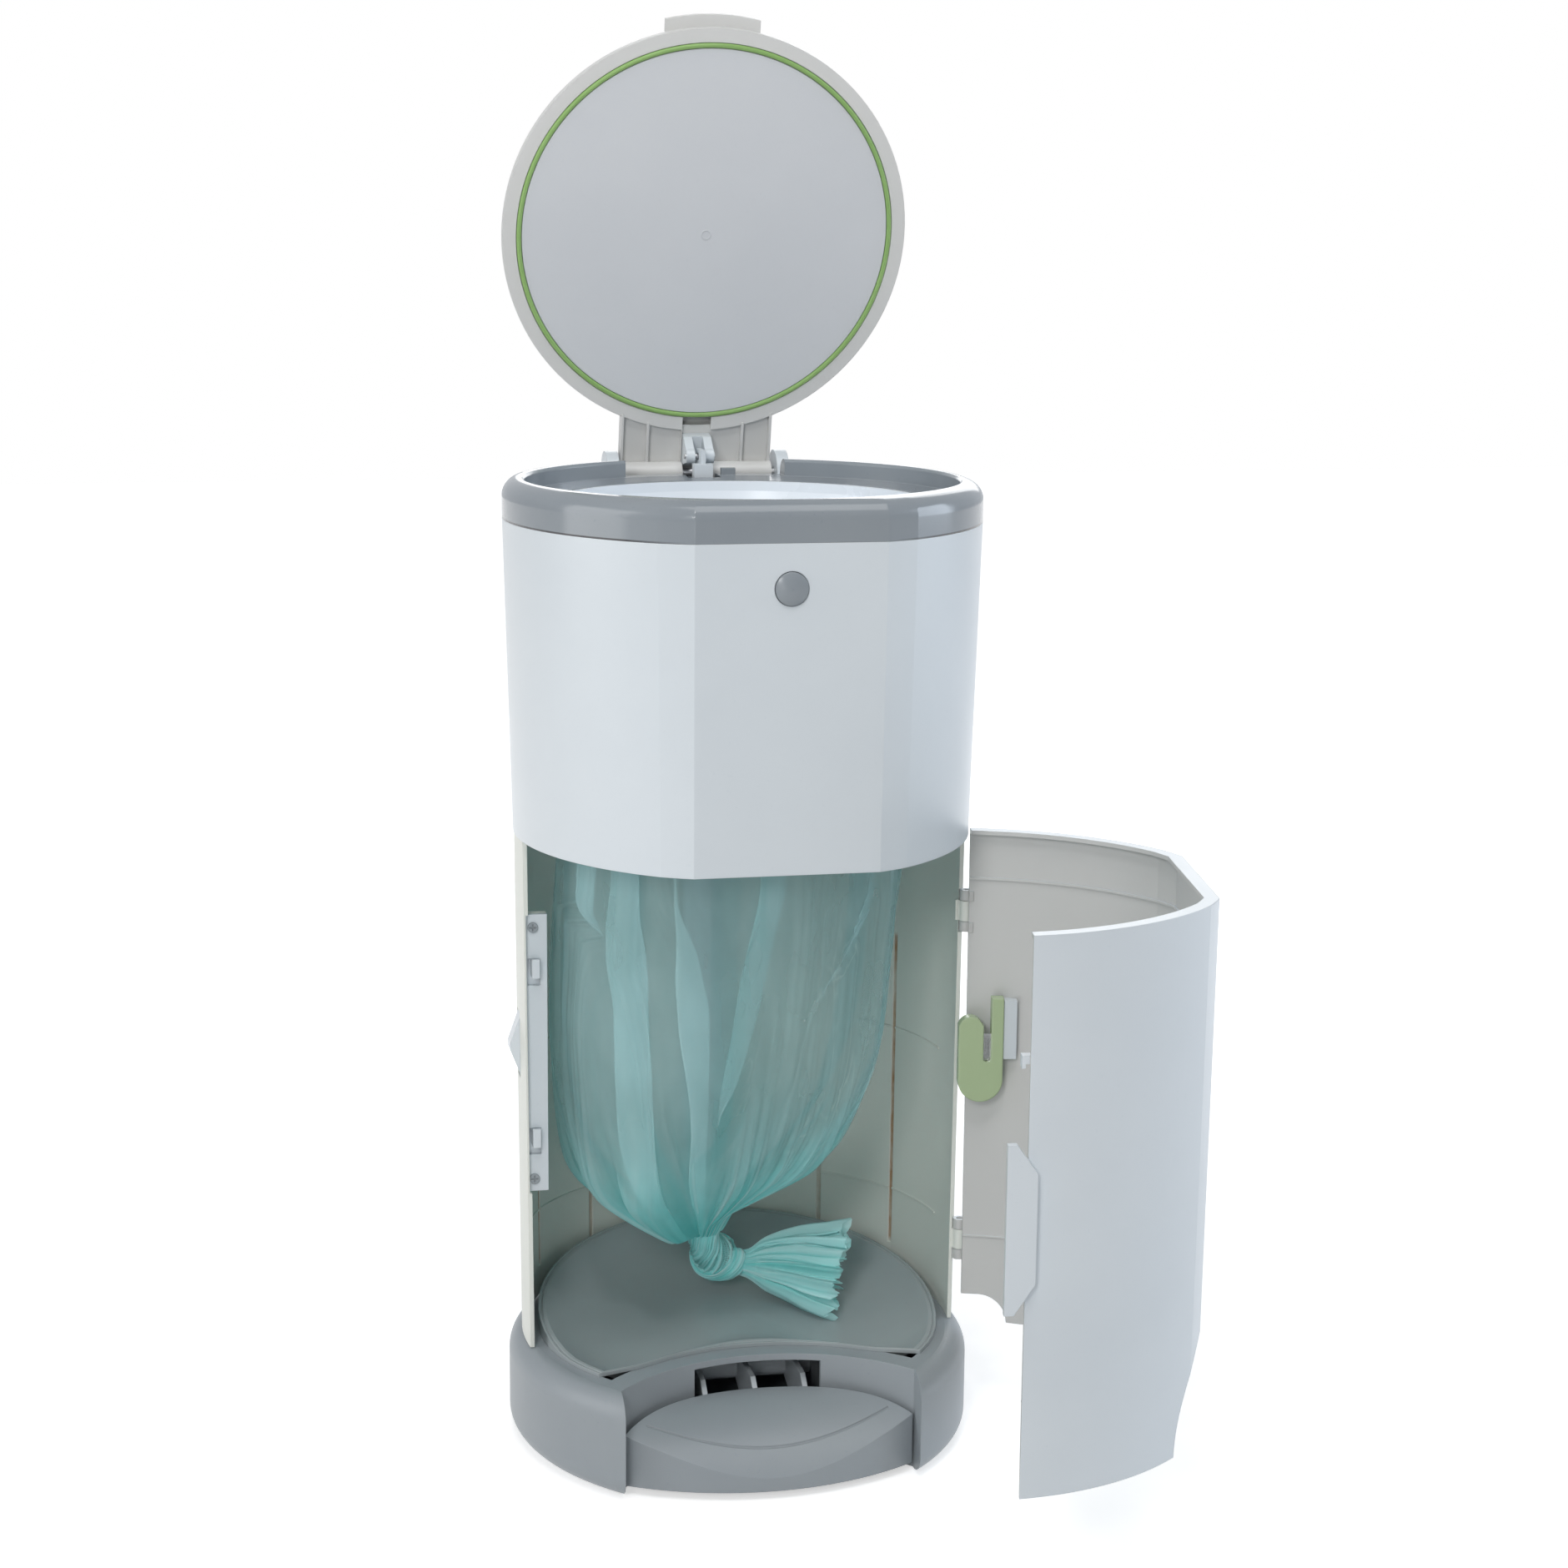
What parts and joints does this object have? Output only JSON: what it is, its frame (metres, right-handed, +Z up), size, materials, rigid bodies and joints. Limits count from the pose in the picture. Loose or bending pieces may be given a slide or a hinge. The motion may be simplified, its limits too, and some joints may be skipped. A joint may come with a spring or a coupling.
{
  "type": "step-on nappy bin",
  "caption": "Tall round-backed nappy bin with a flat front panel, foot pedal, lifting lid with a seal, flap-closed funnel, hanging film bag and side-hung door with a film cutter.",
  "frame": {"origin": "on the floor, on the axis of the drum's rear curve, at the underside of the base plate", "axes": "+Z up; the flat front panel and the pedal face -Y; +X is to the right of someone facing the front panel, on the door's hinge side"},
  "size_m": [0.362, 0.4407, 0.8199],
  "materials": {
    "white_gloss": "smooth moulded white plastic with a soft gloss",
    "casing_white": "moulded off-white plastic, satin",
    "grey_gloss": "polished grey plastic",
    "grey_satin": "satin mid-grey plastic",
    "lid_lining": "pale lilac-grey satin plastic",
    "seal_green": "soft green seal",
    "cutter_green": "pale green plastic",
    "steel": "plain bright steel",
    "foot_rubber": "matt dark rubber",
    "bag_teal": "thin translucent teal film"
  },
  "bodies": {
    "body": {"base_shell": "grey_satin", "base_plate": "grey_satin", "rubber_feet": "foot_rubber", "tray": "grey_satin", "pedal_axle": "steel", "rod_channel": "white_gloss", "rear_casing": "casing_white", "mid_frame": "white_gloss", "upper_drum": "white_gloss", "rim_collar": "grey_gloss", "funnel": "white_gloss", "flap_plate": "white_gloss", "neck_tube": "white_gloss", "flap_pins": "steel", "refill_ring": "white_gloss", "refill_cap": "lid_lining", "bag_film": "bag_teal", "bag_tail": "bag_teal", "hinge_housing": "white_gloss", "hinge_pin": "steel", "button_guide": "casing_white", "door_pins": "steel", "latch_plate": "white_gloss", "latch_screws": "grey_satin", "casing_screws": "steel"},
    "pedal": {"pedal": "grey_satin", "pedal_lever": "white_gloss"},
    "rod": {"push_rod": "steel", "rod_head": "white_gloss"},
    "lid": {"lid_shell": "white_gloss", "lid_disc": "lid_lining", "lid_seal": "seal_green", "lid_clevis": "white_gloss", "clevis_pin": "steel"},
    "flap_l": {"flap_left": "white_gloss"},
    "flap_r": {"flap_right": "white_gloss"},
    "lock": {"lock_button": "grey_gloss"},
    "door": {"door_shell": "white_gloss", "door_hooks": "white_gloss", "cutter_bracket": "white_gloss", "cutter_body": "cutter_green", "cutter_blade": "steel"},
    "latch": {"latch_slider": "white_gloss"},
    "release": {"release_button": "white_gloss"}
  },
  "joints": [
    {"name": "lid_hinge", "type": "hinge", "parent": "body", "child": "lid", "pos_m": [0, 0.1473, 0.5503], "axis": [1, 0, 0], "range_deg": [0, 76]},
    {"name": "pedal_pivot", "type": "hinge", "parent": "body", "child": "pedal", "pos_m": [0, 0, 0.032], "axis": [-1, 0, 0], "range_deg": [0, 10.81]},
    {"name": "rod_slide", "type": "slide", "parent": "body", "child": "rod", "axis": [0, 0, 1], "range_m": [-0.0229, 0]},
    {"name": "flap_left_hinge", "type": "hinge", "parent": "body", "child": "flap_l", "pos_m": [-0.058, 0, 0.4992], "axis": [0, 1, 0], "range_deg": [0, 70], "stiffness_Nm_per_rad": 0.1, "springref_deg": -28.65},
    {"name": "flap_right_hinge", "type": "hinge", "parent": "body", "child": "flap_r", "pos_m": [0.058, 0, 0.4992], "axis": [0, -1, 0], "range_deg": [0, 70], "stiffness_Nm_per_rad": 0.1, "springref_deg": -28.65},
    {"name": "lock_slide", "type": "slide", "parent": "body", "child": "lock", "axis": [0, 1, 0], "range_m": [0, 0.003], "stiffness_N_per_m": 300, "springref_m": -0.004},
    {"name": "door_hinge", "type": "hinge", "parent": "body", "child": "door", "pos_m": [0.13, -0.02, 0.21], "axis": [0, 0, 1], "range_deg": [-81.5, 15]},
    {"name": "latch_slide", "type": "slide", "parent": "body", "child": "latch", "axis": [0, 0, -1], "range_m": [0, 0.004], "stiffness_N_per_m": 300, "springref_m": -0.008},
    {"name": "release_slide", "type": "slide", "parent": "body", "child": "release", "axis": [1, 0, 0], "range_m": [0, 0.003]}
  ],
  "couplings": [
    {"joint": "pedal_pivot", "follows": "lid_hinge", "ratio": 0.1416},
    {"joint": "rod_slide", "follows": "lid_hinge", "m_per_rad": -0.017173},
    {"joint": "release_slide", "follows": "latch_slide", "ratio": 0.75}
  ]
}
